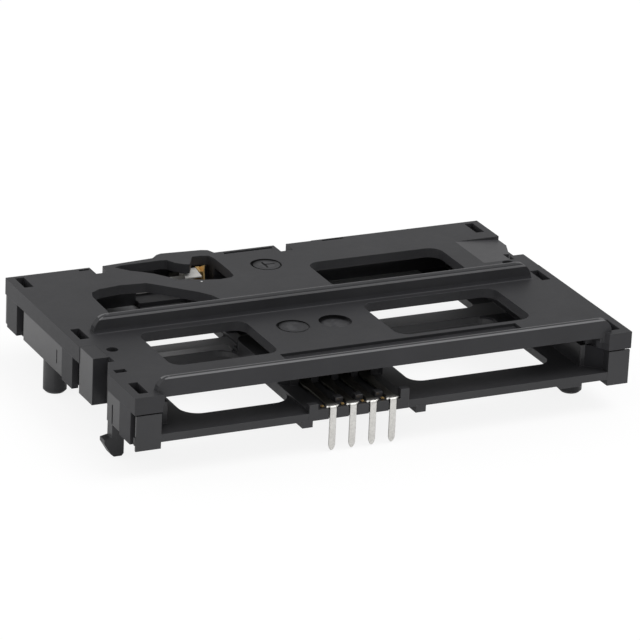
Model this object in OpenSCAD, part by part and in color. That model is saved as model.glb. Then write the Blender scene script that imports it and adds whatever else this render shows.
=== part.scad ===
// Smart card socket for a circuit board.
// A flat moulded base carries two rows of four sprung contacts and a card switch.
// A ribbed moulded cover snaps onto the base with six legs and forms the card slot.
// All sizes are in millimetres. Z is up and Z = 0 is the face of the circuit board.

/* [Overall size] */
// Width of the walls beside the card
side_w = 4.6; // [4.2:0.1:6]
// Thickness of the wall that stops the card
stop_t = 2; // [1.8:0.1:3]
// Height of the joint between the base and the cover
joint_h = 4.4; // [4.2:0.05:4.6]
// Gap left between two seated mouldings
seat_gap = 0.04; // [0.02:0.01:0.08]

/* [Cover] */
// Thickness of the top plate
cover_t = 1.2; // [1:0.05:1.4]
// Height of the middle rib above the top plate
mid_rib_h = 2.01; // [1:0.05:3]
// Height of the front rib above the top plate
front_rib_h = 1.71; // [1:0.05:2.5]
// Thickness of the two ribs
rib_t = 0.95; // [0.7:0.05:1.4]
// Distance from the card mouth to the front of the middle rib
mid_rib_y = 19.9; // [19:0.1:20.6]
// Set-back of the front rib from the corner posts
front_rib_y = 0.7; // [0.4:0.05:1]
// Corner radius of the windows
window_r = 1.7; // [0.8:0.1:2.4]

/* [Base] */
// Height of the underside of the floor above the circuit board
foot_h = 0.76; // [0.4:0.02:1]
// Thickness of the floor
floor_t = 0.94; // [0.7:0.02:1.2]
// Width of the corner posts
post_w = 3.3; // [3:0.1:3.8]
// Height of the walls between the spring channels
channel_wall_top = 3.2; // [2.8:0.05:3.6]
// Diameter of the two locating pegs
peg_d = 2.84; // [2:0.02:3]
// Length of the locating pegs below the circuit board face
peg_len = 3.3; // [2:0.1:4]
// Thickness of the hook that holds the board
hook_t = 1.5; // [1:0.1:1.6]

/* [Card] */
// Width of the card
card_w = 54; // [53.9:0.02:54.1]
// Thickness of the card
card_t = 0.76; // [0.7:0.02:0.84]
// Depth that the card goes in
card_depth = 38.1; // [36:0.1:42]
// Free height above the card in the slot
card_gap = 0.15; // [0.1:0.01:0.2]
// Free width on each side of the card
card_side_gap = 0.05; // [0.03:0.01:0.1]

/* [Contacts] */
// Distance between two neighbouring contacts
pitch = 2.54; // [2.5:0.01:2.6]
// Sideways distance from the middle of the socket to the middle of the contacts
contact_shift = 3.22; // [3:0.02:3.4]
// Width of a solder tail
tail_w = 0.8; // [0.6:0.05:0.9]
// Thickness of the contact strip
strip_t = 0.25; // [0.2:0.01:0.3]
// Length of a solder tail below the circuit board face
tail_len = 3.14; // [2.5:0.02:3.6]
// Height that the springs stand proud of the card rails at rest
spring_lift = 0.56; // [0.4:0.02:0.6]
// Distance from the inserted edge of the card to the rear row of pads
pads_rear = 11.25; // [11:0.05:11.5]
// Distance from the inserted edge of the card to the front row of pads
pads_front = 18.87; // [18.6:0.05:19]

/* [Card switch] */
// Thickness of the switch metal
switch_t = 0.2; // [0.15:0.01:0.25]
// Length of the switch blade from its root
blade_len = 11.1; // [10:0.1:12]
// Height of the blade's tab above the joint
tab_rise = 0.78; // [0.6:0.02:0.82]

/* [Hidden] */
$fn = 48;
plastic = [0.16, 0.16, 0.17];
gold = [0.83, 0.66, 0.36];
silver = [0.8, 0.8, 0.8];
cut = 1;
cut_in = 0.1;

// Heights
floor_z = foot_h + floor_t;
base_top = joint_h - seat_gap / 2;
cover_low = joint_h + seat_gap / 2;
card_low = base_top;
cover_under = card_low + card_t + card_gap;
body_h = cover_under + cover_t;
lip_low = cover_under + cover_t / 2;
bed_t = 0.35;
bed_z = floor_z + bed_t;
keel_z = 0.06;
ledge_z = bed_z + 0.3;
recess_t = 0.42;
boss_z = foot_h / 2;

// Plan positions
body_w = card_w + 2 * (card_side_gap + side_w);
body_d = card_depth + stop_t;
wall_left = 0.05;
wall_right = body_w - 0.13;
rear_edge = body_d - 0.2;
card_x0 = side_w;
card_x1 = body_w - side_w;
stop_y = card_depth;
post_x = 0.22;
post_x1 = body_w - post_w + 0.4;
post_d = 3;
ear_cut = 0.35;
ear_x0 = post_w + 0.3;
ear_x1 = body_w - post_w;
rail_w = 0.6;
rail_y = 2.8;
contact_mid = body_w / 2 - contact_shift;
contact_x = [for (k = [-1.5, -0.5, 0.5, 1.5]) contact_mid + k * pitch];
pad_front_y = stop_y - pads_front;
pad_rear_y = stop_y - pads_rear;

// Spring channels
shoulder_w = 1.6;
anchor_w = 1.32;
root_y = 7.4;
root_rear = 5.6;
tail_gap = 0.17;
tail_slot_d = 0.28;
exit_gap = 0.62;
channel_wall_w = 0.9;
channel_w = pitch - channel_wall_w;
beam_w = channel_w - 0.24;
block_x0 = contact_x[0] - 3;
block_x1 = contact_x[3] + 2.95;
bay_x0 = contact_x[0] - 1.9;
bay_x1 = contact_x[3] + 0.95;
block_end_x1 = bay_x1 + 1.1;
block_end_d = 0.75;
block_end_low = 2.75;
block_foot_w = 1.3;
rear_block_x0 = block_x0 + 0.86;
platform_y = root_y + 0.3;
bend_y = root_y - 2.2;
post_y = 1.15;
post_z = 2.75;

// Cross bar between the front and rear windows, and the slopes on the floor
bar_y0 = mid_rib_y + 1.45;
bar_y1 = mid_rib_y + 5.17;
bar_ramp = [0.45, 1.58];
stop_ramp = 2.1;

// Latch legs, one set for each side
leg_y = [1.3, mid_rib_y - 1.15, body_d - 3.75];
leg_len = 3.1;
leg_t = 0.87;
leg_slot = [1, 2.2, 2.25];
leg_low = 0.42;
barb_t = 0.45;
barb_z0 = foot_h + 0.29;
barb_z1 = barb_z0 + 1.2;
hole_x0 = 0.95;
hole_x1 = hole_x0 + 1.15;

// Guide blocks that stand up beside the cover, and the notch in front of each
block_y0 = 12.6;
block_y1 = block_y0 + 3.9;
notch_y = block_y0 - 1.5;
notch_w = 2.1;
notch_edge_x = 1.25;
slant_y = notch_y - 3.1;

// Hook and pegs
hook_y1 = notch_y - 3;
hook_y0 = hook_y1 - 1.4;
hook_x = 0.15;
hook_gap = 0.6;
hook_slot_y = hook_y1 - 0.35;
peg_tip = 0.3;
peg_a = [1.47, body_d - 12.7];
peg_b = [body_w - 3.7, 7.35];

// Switch, which stands behind the first pair of contacts
terminal_x = contact_x[0] + 0.38;
terminal_tail_x = terminal_x - 3;
blade_x = terminal_x - 0.3 - blade_len;
blade_y = body_d - 0.8;
blade_z0 = bed_z + 0.6;
blade_z1 = base_top - 0.05;
pocket_x0 = blade_x - 1.2;
pocket_x1 = terminal_x - 1.4;
tab_x0 = blade_x + blade_len - 2.7;
tab_x1 = blade_x + blade_len;
tab_y = stop_y - 1;
tab_z = base_top + tab_rise;
slot_gap = 0.1;
terminal_y = body_d + 0.65;
ledge_x0 = terminal_x - 8.85;
ledge_y = stop_y - 1.1;
rear_wall_x0 = terminal_x - 5.6;
rear_wall_x1 = contact_x[1] - 0.96;
rear_wall_y = terminal_y + 0.3;
rear_wall_z = cover_under - 0.1;
rear_wall_t = 0.3;
pocket_wall = [[pocket_x0 - 0.3, rear_edge - rear_wall_t], [pocket_x0 + 0.2, rear_edge - rear_wall_t],
    [rear_wall_x0, rear_edge + 0.45], [rear_wall_x0 + 0.4, rear_wall_y], [rear_wall_x1, rear_wall_y]];

// Windows as left, front, right and rear edges
cover_window_a = [card_x0 + 3.2, 7.6, block_x0 - 0.32, mid_rib_y - 1.6];
cover_window_b = [block_x1 + 1.41, 7.75, card_x1 - 4.4, mid_rib_y - 1.3];
cover_window_c = [block_x1 + 1.11, mid_rib_y + 4.4, card_x1 - 4.5, stop_y - 4.9];
floor_window_a = [card_x0 + 3.55, 4.3, block_x0, bar_y0 + bar_ramp[0]];
floor_window_b = [block_x1 + 1.9, 4.9, card_x1 - 3.1, bar_y0];
floor_window_c = [block_x1 + 1.4, mid_rib_y + 4.46, card_x1 - 3.3, stop_y - 4.9];
floor_window_d = [card_x0 + 3.55, bar_y1, rear_block_x0 - 0.1, stop_y - 4.9];
floor_window_r = [2.3, 1.2];

// The origin is the axis of the rear left peg, at the face of the circuit board
module at_origin() {
    translate([-peg_a[0], -peg_a[1], 0])
        children();
}

// A box between two corners
module slab(x0, y0, z0, x1, y1, z1) {
    translate([x0, y0, z0])
        cube([x1 - x0, y1 - y0, z1 - z0]);
}

// A box with rounded upright corners
module round_slab(x0, y0, z0, x1, y1, z1, r) {
    translate([0, 0, z0])
        linear_extrude(z1 - z0) {
            translate([x0 + r, y0])
                square([x1 - x0 - 2 * r, y1 - y0]);
            translate([x0, y0 + r])
                square([x1 - x0, y1 - y0 - 2 * r]);
            for (x = [x0 + r, x1 - r], y = [y0 + r, y1 - r])
                translate([x, y])
                    circle(r);
        }
}

// An upright prism over a plan outline
module prism(points, z0, z1) {
    translate([0, 0, z0])
        linear_extrude(z1 - z0)
            polygon(points);
}

// An upright wall behind a line of points, with the same depth t everywhere
module wall_along(points, t, z0, z1) {
    prism(concat([for (p = points) p + [0, t]], [for (k = [len(points) - 1:-1:0]) points[k]]), z0, z1);
}

// A side outline in Y and Z, carried along X
module along_x(x0, x1) {
    translate([x0, 0, 0])
        rotate([90, 0, 90])
            linear_extrude(x1 - x0)
                children();
}

// An end outline in X and Z, carried along Y
module along_y(y0, y1) {
    translate([0, y1, 0])
        rotate([90, 0, 0])
            linear_extrude(y1 - y0)
                children();
}

// The shape itself and the same shape turned half round about the middle of the socket
module both_ways() {
    children();
    translate([body_w, body_d, 0])
        rotate([0, 0, 180])
            children();
}

// The shape itself and its mirror image on the other side
module both_sides() {
    children();
    translate([body_w, 0, 0])
        mirror([1, 0, 0])
            children();
}

// A window with rounded corners, cut right through between two heights
module cut_window(w, z0, z1, r) {
    round_slab(w[0], w[1], z0 - cut, w[2], w[3], z1 + cut, r);
}

// A long rib with a rounded crest, rounded ends and a small fillet at its foot
// The fillet in front is left out where the front face of the rib is flush with the edge of the plate
module rib(x0, x1, y0, z0, z1, r, flush = false) {
    crest_r = 0.3;
    foot_r = 0.35;
    front_r = flush ? 0 : foot_r;
    intersection() {
        along_y(y0 - 1, y0 + rib_t + 1) {
            translate([x0 + r, z0])
                square([x1 - x0 - 2 * r, z1 - z0]);
            translate([x0, z0])
                square([x1 - x0, z1 - z0 - r]);
            for (x = [x0 + r, x1 - r])
                translate([x, z1 - r])
                    circle(r);
        }
        along_x(x0, x1) {
            translate([y0, z0])
                square([rib_t, z1 - z0 - crest_r]);
            translate([y0 + crest_r, z0])
                square([rib_t - 2 * crest_r, z1 - z0]);
            for (y = [y0 + crest_r, y0 + rib_t - crest_r])
                translate([y, z1 - crest_r])
                    circle(crest_r);
            difference() {
                translate([y0 - front_r, z0])
                    square([rib_t + front_r + foot_r, body_h - z0 + foot_r]);
                for (y = [y0 - foot_r, y0 + rib_t + foot_r])
                    translate([y, body_h + foot_r])
                        circle(foot_r);
            }
        }
    }
}

// Plan outline of the cover's top plate
module cover_outline() {
    polygon([
        [0, 0], [ear_x0, 0], [ear_x0, front_rib_y], [ear_x1, front_rib_y], [ear_x1 + ear_cut, 0], [body_w, 0],
        [body_w, body_d - block_y0], [body_w - notch_w, body_d - block_y0],
        [body_w - notch_w, body_d - notch_y], [body_w - notch_edge_x, body_d - notch_y],
        [body_w, body_d - slant_y], [body_w, body_d + 0.1],
        [block_x1 + 5.11, body_d + 0.1], [block_x1 + 5.11, body_d],
        [block_x1 + 1.66, body_d], [block_x1 + 1.66, body_d - 2.2],
        [block_x1, body_d - 2.2], [block_x1, body_d],
        [terminal_x + 2.2, body_d], [terminal_x + 1.8, body_d + 1.05], [terminal_x + 1, body_d + 1.35],
        [terminal_x - 4.1, body_d + 1.75], [terminal_x - 4.8, body_d + 1.5], [terminal_x - 5.7, body_d + 0.6],
        [blade_x - 1.1, body_d], [blade_x - 1.3, body_d - 2.2], [blade_x - 2.8, body_d - 2.2],
        [blade_x - 2.8, body_d], [0, body_d],
        [0, block_y0], [notch_w, block_y0], [notch_w, notch_y], [notch_edge_x, notch_y], [0, slant_y]
    ]);
}

// Window over the front of the switch pocket, with a curved rear edge
module switch_window_front() {
    x = card_x0 + 2.5;
    y = mid_rib_y + 3.7;
    polygon([
        [x, y], [x + 0.24, y + 2.88], [x + 0.35, stop_y - 7.2], [x + 0.8, stop_y - 5.9],
        [x + 2.02, stop_y - 5.11], [x + 4.9, stop_y - 4.67], [terminal_x - 9.77, stop_y - 4.98],
        [terminal_x - 8.47, stop_y - 6.2], [terminal_x - 4.86, stop_y - 9.87], [terminal_x - 3.9, y + 3.25],
        [terminal_x - 3.4, y + 1.6], [terminal_x - 3.1, y]
    ]);
}

// Window over the switch itself
module switch_window_rear() {
    translate([terminal_x, stop_y])
        polygon([
            [-11.29, 1.1], [-10.4, 1.5], [-5.11, 1.6], [-4.3, 1.44], [-3.74, 0.28], [-2.91, -0.55],
            [-2.22, -0.78], [-0.95, 1.53], [0.11, 1.54], [1.16, 1.19], [1.43, 0], [1.45, -4.37],
            [1.32, -5.93], [0.82, -6.48], [-0.83, -6.64], [-2.61, -6.22], [-4.71, -5.33], [-5.7, -5.2],
            [-6.71, -3.59], [-7.63, -2.39], [-8.78, -1.4], [-9.9, -0.6], [-10.7, 0.3]
        ]);
}

// A leg of the cover with a barb on its inner face
module latch_leg(y) {
    slab(wall_left, y, leg_low, leg_t, y + leg_len, cover_under + cut_in);
    along_y(y + 0.4, y + leg_len - 0.4)
        polygon([[leg_t - 0.2, barb_z0], [leg_t, barb_z0], [leg_t + barb_t, barb_z1 - 0.3],
            [leg_t + barb_t, barb_z1], [leg_t - 0.2, barb_z1]]);
}

// A round mark left by an ejector, with a thin ring around it
module round_mark(x, y, r, deep) {
    translate([x, y, body_h - deep])
        cylinder(r = r, h = deep + cut);
}

module ring_mark(x, y, r, deep) {
    translate([x, y, body_h - deep])
        difference() {
            cylinder(r = r, h = deep + cut);
            translate([0, 0, -cut])
                cylinder(r = r - 0.22, h = deep + 3 * cut);
        }
}

// Side skirt that closes the slot beside the card
module cover_skirt(corner) {
    difference() {
        prism([[0, 0], [corner, 0], [corner + 0.45, 1], [card_x0, rail_y],
            [card_x0, stop_y], [card_x0 + 6, stop_y], [card_x0 + 6, body_d], [0, body_d],
            [0, block_y0], [notch_w, block_y0], [notch_w, notch_y], [notch_edge_x, notch_y], [0, slant_y]],
            cover_low, cover_under + cut_in);
        slab(blade_x - 5.1, stop_y - cut, cover_low - cut, blade_x + 6.4, body_d + cut, cover_under + cut);
    }
}

module cover() {
    color(plastic)
    at_origin()
    difference() {
        union() {
            translate([0, 0, cover_under])
                linear_extrude(cover_t)
                    cover_outline();
            cover_skirt(post_w + 0.1);
            translate([body_w, 0, 0])
                mirror([1, 0, 0])
                    cover_skirt(body_w - ear_x1 - ear_cut);
            slab(rear_wall_x1 + 0.08, stop_y, cover_low, card_x1, body_d - 0.1, cover_under + cut_in);
            both_sides()
                for (y = leg_y)
                    latch_leg(y);
            rib(post_w - 0.3, body_w - post_w + 0.9, front_rib_y,
                lip_low, body_h + front_rib_h, front_rib_h - 0.1, true);
            rib(post_w - 0.2, body_w - post_w + 0.3, mid_rib_y,
                cover_under + cut_in, body_h + mid_rib_h, mid_rib_h);
        }
        // Lead-in under the front edge
        along_x(post_w + 0.5, body_w - post_w - 0.5)
            polygon([[-cut, cover_under - cut], [front_rib_y - cut, lip_low], [front_rib_y + 0.1, lip_low],
                [rail_y, cover_under], [rail_y, cover_under - cut]]);
        slab(ear_x0, -cut, cover_low, body_w - post_w - 0.2, front_rib_y + 0.1, lip_low);
        // Shallow recess behind the front rib
        slab(block_x0 - 0.72, front_rib_y + rib_t, body_h - recess_t, card_x1 - 7.3, cover_window_a[1] - 0.6,
            body_h + cut);
        // Windows
        cut_window(cover_window_a, cover_under, body_h, window_r - 0.2);
        cut_window(cover_window_b, cover_under, body_h, window_r);
        cut_window(cover_window_c, cover_under, body_h, window_r);
        translate([0, 0, cover_under - cut])
            linear_extrude(cover_t + 2 * cut) {
                switch_window_front();
                switch_window_rear();
            }
        // Openings over the barbs
        both_sides()
            for (y = leg_y)
                slab(hole_x0, y - 0.1, cover_low - cut, hole_x1, y + leg_len + 0.1, body_h + cut);
        // Places for the guide blocks of the base
        both_ways()
            slab(-cut, block_y0 - cut, cover_low - cut, notch_w - 0.17, block_y1 + seat_gap, body_h + cut);
        both_ways()
            translate([notch_w + 1.15, (block_y0 + block_y1) / 2 + 0.05, cover_low - cut])
                cylinder(r = 0.7, h = body_h);
        slab(0.9, hook_slot_y, cover_low - cut, 2.3, hook_slot_y + 0.95, body_h + cut);
        // Sloping recess at the right side
        translate([card_x1 - 1.5, body_d - 13.8, body_h])
            rotate([0, 4.5, 0])
                slab(0, 0, 0, side_w + 4, 7.9, 2);
        // Round marks
        round_mark(contact_mid + 3.06, mid_rib_y - 5.44, 1.96, 0.35);
        ring_mark(contact_mid - 2.35, mid_rib_y - 5.42, 1.95, 0.15);
        translate([contact_mid + 3.15, stop_y - 3.84, 0]) {
            ring_mark(0, 0, 1.88, 0.25);
            slab(-0.38, -0.96, body_h - 0.2, -0.08, 0.94, body_h + cut);
            slab(-0.38, -0.06, body_h - 0.2, 1.12, 0.19, body_h + cut);
        }
        // Small slots near the rear edge
        slab(contact_mid - 0.23, body_d - 0.9, body_h - 0.5,
            contact_mid + 6.27, body_d - 0.35, body_h + cut);
        slab(block_x1 + 6.41, body_d - 0.5, body_h - 0.5, block_x1 + 9.31, body_d - 0.1, body_h + cut);
        slab(blade_x - 4.4, body_d - 0.8, body_h - 0.5, blade_x - 3.1, body_d - 0.3, body_h + cut);
    }
}

// A gentle slope in the floor, rounded at its corners and rising to the rear
module card_slope(x0, x1, y0, y1) {
    slope_t = 0.25;
    intersection() {
        round_slab(x0, y0, floor_z - slope_t, x1, y1, floor_z + 0.2, floor_window_r[1] / 2);
        along_x(x0 - cut, x1 + cut)
            polygon([[y0 - cut, floor_z - slope_t], [y0, floor_z - slope_t], [y1, floor_z], [y1, floor_z + cut],
                [y0 - cut, floor_z + cut]]);
    }
}

// Cuts for one leg in the side wall of the base
module leg_cut(y, slot) {
    slab(-cut, y - slot, -cut, leg_t + 0.05, y + leg_len + 0.05, joint_h + cut);
    slab(leg_t - cut_in, y + 0.3, barb_z0 - 0.1, leg_t + barb_t + 0.1, y + leg_len - 0.3, barb_z1 + 0.06);
}

// Sprung hook that snaps under the circuit board
module board_hook() {
    along_y(hook_y0, hook_y1)
        polygon([[hook_x, base_top], [hook_x + hook_t, base_top], [hook_x + hook_t, -peg_len + peg_tip],
            [hook_x + hook_t - 0.25, -peg_len], [hook_x + peg_tip, -peg_len], [hook_x - 0.05, -peg_len + peg_tip],
            [hook_x - 0.9, -1.6], [hook_x - 0.9, -1.15], [hook_x, -0.95]]);
}

// Floor, walls and posts before any opening is cut
module base_solid() {
    slab(wall_left, 0.05, foot_h, wall_right, rear_edge, floor_z);
    slab(wall_left, 0.3, floor_z - cut_in, card_x0, rear_edge, base_top);
    slab(card_x0 - cut_in, rail_y, floor_z - cut_in, card_x0 + rail_w, stop_y + cut_in, base_top);
    slab(card_x1, 0.3, floor_z - cut_in, wall_right, rear_edge, base_top);
    slab(card_x1 - rail_w, rail_y, floor_z - cut_in, card_x1 + cut_in, stop_y + cut_in, base_top);
    slab(card_x0, stop_y, floor_z - cut_in, card_x1, rear_edge, base_top);
    // Corner posts with their feet
    slab(post_x, 0, 0, post_w, post_d, base_top);
    slab(post_x1, 0, 0, wall_right, post_d, base_top);
    slab(post_x + leg_t, rear_edge - post_d, 0, post_w, rear_edge, foot_h + cut_in);
    slab(post_x1, rear_edge - post_d, 0, wall_right, rear_edge, foot_h + cut_in);
    // Feet beside the front contacts
    slab(block_x0 - 0.8, 0, 0, block_x0 - 0.8 + block_foot_w, post_d, foot_h + cut_in);
    slab(block_x1 + 0.05, 0, 0, block_x1 + 0.05 + block_foot_w, post_d, foot_h + cut_in);
    // Block that carries the contacts
    slab(block_x0, 0, foot_h, block_end_x1, bar_y0, bed_z);
    slab(rear_block_x0, bar_y0 - cut_in, foot_h, block_x1, rear_edge, bed_z);
    slab(block_x0, 0, foot_h, bay_x0, block_end_d, block_end_low);
    slab(bay_x1, 0, foot_h, block_end_x1, block_end_d, channel_wall_top);
    for (k = [0, 1, 2])
        slab(contact_x[k] + pitch / 2 - channel_wall_w / 2, post_y, bed_z - cut_in,
            contact_x[k] + pitch / 2 + channel_wall_w / 2, post_y + 0.9, post_z);
    round_slab(block_x0, platform_y, foot_h, block_x1, bar_y0, channel_wall_top, floor_window_r[0] - 0.8);
    round_slab(rear_block_x0, bar_y1, foot_h, block_x1, stop_y + 1, channel_wall_top, floor_window_r[1]);
    // Rib under the cross bar between the front and rear windows
    slab(card_x0, bar_y0 + bar_ramp[0], keel_z, card_x1, bar_y0 + 1.4, foot_h + cut_in);
    // Ledge in front of the switch, beside the wall that stops the card
    slab(ledge_x0, ledge_y, foot_h, rear_block_x0 + cut_in, stop_y + cut_in, ledge_z);
    // Rear wall of the switch pocket
    slab(rear_wall_x0, rear_edge - cut_in, foot_h, terminal_tail_x + 1.4, rear_wall_y + rear_wall_t, ledge_z);
    wall_along(pocket_wall, rear_wall_t, foot_h, rear_wall_z);
    slab(rear_wall_x1 - rear_wall_t, rear_edge - cut_in, foot_h,
        rear_wall_x1, rear_wall_y + rear_wall_t, rear_wall_z);
    // Locating pegs
    for (p = [peg_a, peg_b]) {
        translate([p[0], p[1], -peg_len])
            cylinder(r1 = peg_d / 2 - peg_tip, r2 = peg_d / 2, h = peg_tip);
        translate([p[0], p[1], peg_tip - peg_len])
            cylinder(r = peg_d / 2, h = peg_len + foot_h);
    }
    // Small boss under the front edge
    slab(peg_b[0] - 5.5, wall_left, boss_z, peg_b[0] - 2.6, 1, foot_h + cut_in);
    // Guide blocks beside the cover
    both_ways()
        slab(wall_left, block_y0, foot_h, notch_w - 0.2, block_y1, body_h);
    both_ways()
        board_hook();
}

module base() {
    color(plastic)
    at_origin()
    difference() {
        base_solid();
        // Windows in the floor
        cut_window(floor_window_a, 0, floor_z, floor_window_r[0]);
        cut_window(floor_window_b, 0, floor_z, window_r);
        cut_window(floor_window_c, 0, floor_z, floor_window_r[1]);
        cut_window(floor_window_d, 0, floor_z, floor_window_r[1]);
        // Slopes that lead the edge of the card over the rear edges of the windows
        card_slope(card_x0 + rail_w, block_x0 - 0.1, bar_y0 + bar_ramp[0] - cut, bar_y0 + bar_ramp[1]);
        card_slope(card_x0 + rail_w, ledge_x0, stop_y - stop_ramp, stop_y);
        card_slope(block_x1, card_x1 - 4.3, stop_y - stop_ramp, stop_y);
        // Shadow gap under the front corners of the cover
        both_sides()
            slab(-cut, -cut, base_top - 0.13, post_w + cut_in, 0.45, joint_h + cut);
        // Corners behind the posts, cut back beside the card mouth
        prism([[post_w, -cut], [card_x0 - 0.3, -cut], [card_x0 + 3, rail_y], [card_x0, rail_y],
            [post_w, 0.6]], floor_z, joint_h + cut);
        prism([[post_x1, -cut], [card_x1 + 0.3, -cut], [card_x1 - 3, rail_y], [card_x1, rail_y],
            [post_x1, 1.3]], floor_z, joint_h + cut);
        // Slots and ledges for the legs of the cover
        both_sides()
            for (i = [0, 1, 2])
                leg_cut(leg_y[i], leg_slot[i]);
        // Notch and free space around each hook
        both_ways() {
            slab(-cut, hook_y1 + 0.5, -cut, notch_w - 0.2, block_y0, body_h);
            slab(-cut, hook_y1, -cut, hook_x + hook_t + hook_gap, notch_y, body_h);
            slab(hook_x + hook_t, hook_y0 - hook_gap / 2, -cut,
                hook_x + hook_t + hook_gap, hook_y1 + cut_in, joint_h - 1.2);
            slab(-cut, hook_y0 - hook_gap / 2, -cut, hook_x + hook_t + cut_in, hook_y0, joint_h - 1.2);
        }
        // Channels for the springs
        for (x = contact_x) {
            slab(x - channel_w / 2, -cut, bed_z, x + channel_w / 2, stop_y, joint_h + cut);
            slab(x - channel_w / 2, bend_y, floor_z, x + channel_w / 2, stop_y - 1, bed_z + cut_in);
            slab(x - channel_w / 2, stop_y - cut, bed_z, x + channel_w / 2, rear_edge + cut, bed_z + exit_gap);
            slab(x - tail_w / 2 - slot_gap, -cut, -cut, x + tail_w / 2 + slot_gap, tail_slot_d, joint_h);
        }
        slab(bay_x0, -cut, bed_z, bay_x1, post_y, joint_h);
        slab(contact_x[0] - 1.4, rear_edge - 1.4, bed_z, contact_x[3] + 1.4, rear_edge + cut, bed_z + exit_gap);
        // Switch pocket
        prism(concat([[ledge_x0, stop_y - cut], [ledge_x0, blade_y - 0.6], [pocket_x0, blade_y - 0.6],
            [pocket_x0, rear_edge - rear_wall_t]], [for (k = [1:3]) pocket_wall[k]],
            [[rear_wall_x1 - rear_wall_t, rear_wall_y], [rear_wall_x1 - rear_wall_t, rear_edge],
            [contact_x[1] - channel_w / 2, rear_edge], [contact_x[1] - channel_w / 2, stop_y - cut]]),
            ledge_z, body_h);
        slab(blade_x - tail_w / 2 - slot_gap, blade_y - switch_t / 2 - slot_gap, -cut,
            blade_x + tail_w / 2 + slot_gap, blade_y + switch_t / 2 + slot_gap, ledge_z + cut);
        slab(terminal_tail_x - tail_w / 2 - seat_gap, terminal_y - seat_gap, -cut,
            terminal_tail_x + tail_w / 2 + seat_gap, terminal_y + switch_t + seat_gap, ledge_z + cut);
        // Thin groove in the left wall
        slab(-cut, mid_rib_y + 3.5, floor_z + 0.1, wall_left + 0.2, mid_rib_y + 3.75, base_top - 0.9);
    }
}

// Side outline of a contact: solder tail, flat seat, rising spring and rounded nose
// The outline runs towards +Y from the tail at Y = 0 to the pad at Y = reach
module contact_outline(reach, root) {
    seat = bed_z + 0.03;
    pad_z = card_low + spring_lift;
    rise = (pad_z - strip_t - seat) / (reach - 0.9 - root);
    square_z = seat + strip_t;
    polygon([
        [0, -tail_len + 0.5], [strip_t * 0.3, -tail_len], [strip_t * 0.7, -tail_len],
        [strip_t, -tail_len + 0.5],
        [strip_t, seat - 0.15], [strip_t + 0.15, seat], [root, seat],
        [reach - 0.9, pad_z - strip_t - 0.05], [reach - 0.45, pad_z - strip_t - 0.01],
        [reach, pad_z - strip_t - 0.12],
        [reach + 0.45, pad_z - strip_t - 0.35], [reach + 1.3, pad_z - strip_t - 1.2],
        [reach + 1.5, pad_z - strip_t - 1], [reach + 0.7, pad_z - 0.2], [reach + 0.35, pad_z - 0.05],
        [reach, pad_z], [reach - 0.4, pad_z - 0.01], [reach - 0.8, pad_z - 0.1],
        [reach - 1.2, pad_z - 0.1 - 0.4 * rise],
        [root - 0.1, square_z], [0.25, square_z], [0.1, square_z - 0.05], [0, square_z - 0.2]
    ]);
}

// One stamped contact. The tail and the spring are narrow, and the seat has a shoulder and an anchor tab
module contact(reach, root, tab_side) {
    seat = bed_z + 0.03;
    intersection() {
        along_x(-pitch, pitch)
            contact_outline(reach, root);
        union() {
            slab(-tail_w / 2, -cut, -tail_len + 0.35, tail_w / 2, 1.2, body_h);
            prism([[-0.12, -cut], [0.12, -cut], [0.12, 1], [-0.12, 1]], -tail_len - cut, -tail_len + 0.5);
            slab(-shoulder_w / 2, 0.02, seat, shoulder_w / 2, 0.95, body_h);
            slab(tab_side > 0 ? 0 : -anchor_w, 0.55, seat, tab_side > 0 ? anchor_w : 0, 1.25, body_h);
            slab(-0.55, 0.9, seat - 0.1, 0.55, root, body_h);
            slab(-beam_w / 2, root - 0.8, seat - 0.1, beam_w / 2, reach - 3, body_h);
            prism([[-beam_w / 2, reach - 3.1], [beam_w / 2, reach - 3.1], [0.35, reach - 0.8],
                [0.35, reach + 2], [-0.35, reach + 2], [-0.35, reach - 0.8]], 0, body_h);
        }
    }
}

module front_contact(i) {
    color(gold)
    at_origin()
        translate([contact_x[i], -0.15, 0])
            contact(pad_front_y + 0.15, root_y, -1);
}

module rear_contact(i) {
    color(gold)
    at_origin()
        translate([contact_x[i], rear_edge + tail_gap + strip_t, 0])
            rotate([0, 0, 180])
                contact(rear_edge + tail_gap + strip_t - pad_rear_y, root_rear, 1);
}

module front_contact_1() { front_contact(0); }
module front_contact_2() { front_contact(1); }
module front_contact_3() { front_contact(2); }
module front_contact_4() { front_contact(3); }
module rear_contact_1() { rear_contact(0); }
module rear_contact_2() { rear_contact(1); }
module rear_contact_3() { rear_contact(2); }
module rear_contact_4() { rear_contact(3); }

// Upright sprung blade. Its tab folds forward over the ledge, where the card pushes it back
module switch_blade() {
    y0 = blade_y - switch_t / 2;
    y1 = blade_y + switch_t / 2;
    color(silver)
    at_origin() {
        slab(blade_x - tail_w / 2, y0, blade_z0, blade_x + blade_len, y1, blade_z1);
        along_x(tab_x0, tab_x1)
            polygon([[y0, blade_z0], [y1, blade_z0], [y1, tab_z - 0.1], [y1 - 0.1, tab_z], [y0 - 0.3, tab_z],
                [tab_y + 0.1, tab_z - 0.42], [tab_y, tab_z - 0.6], [tab_y + 0.2, tab_z - 0.66],
                [y0 - 0.3, tab_z - switch_t], [y0, tab_z - switch_t - 0.05]]);
        slab(blade_x - tail_w / 2, y0, -tail_len, blade_x + tail_w / 2, y1, blade_z0 + cut_in);
    }
}

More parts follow.
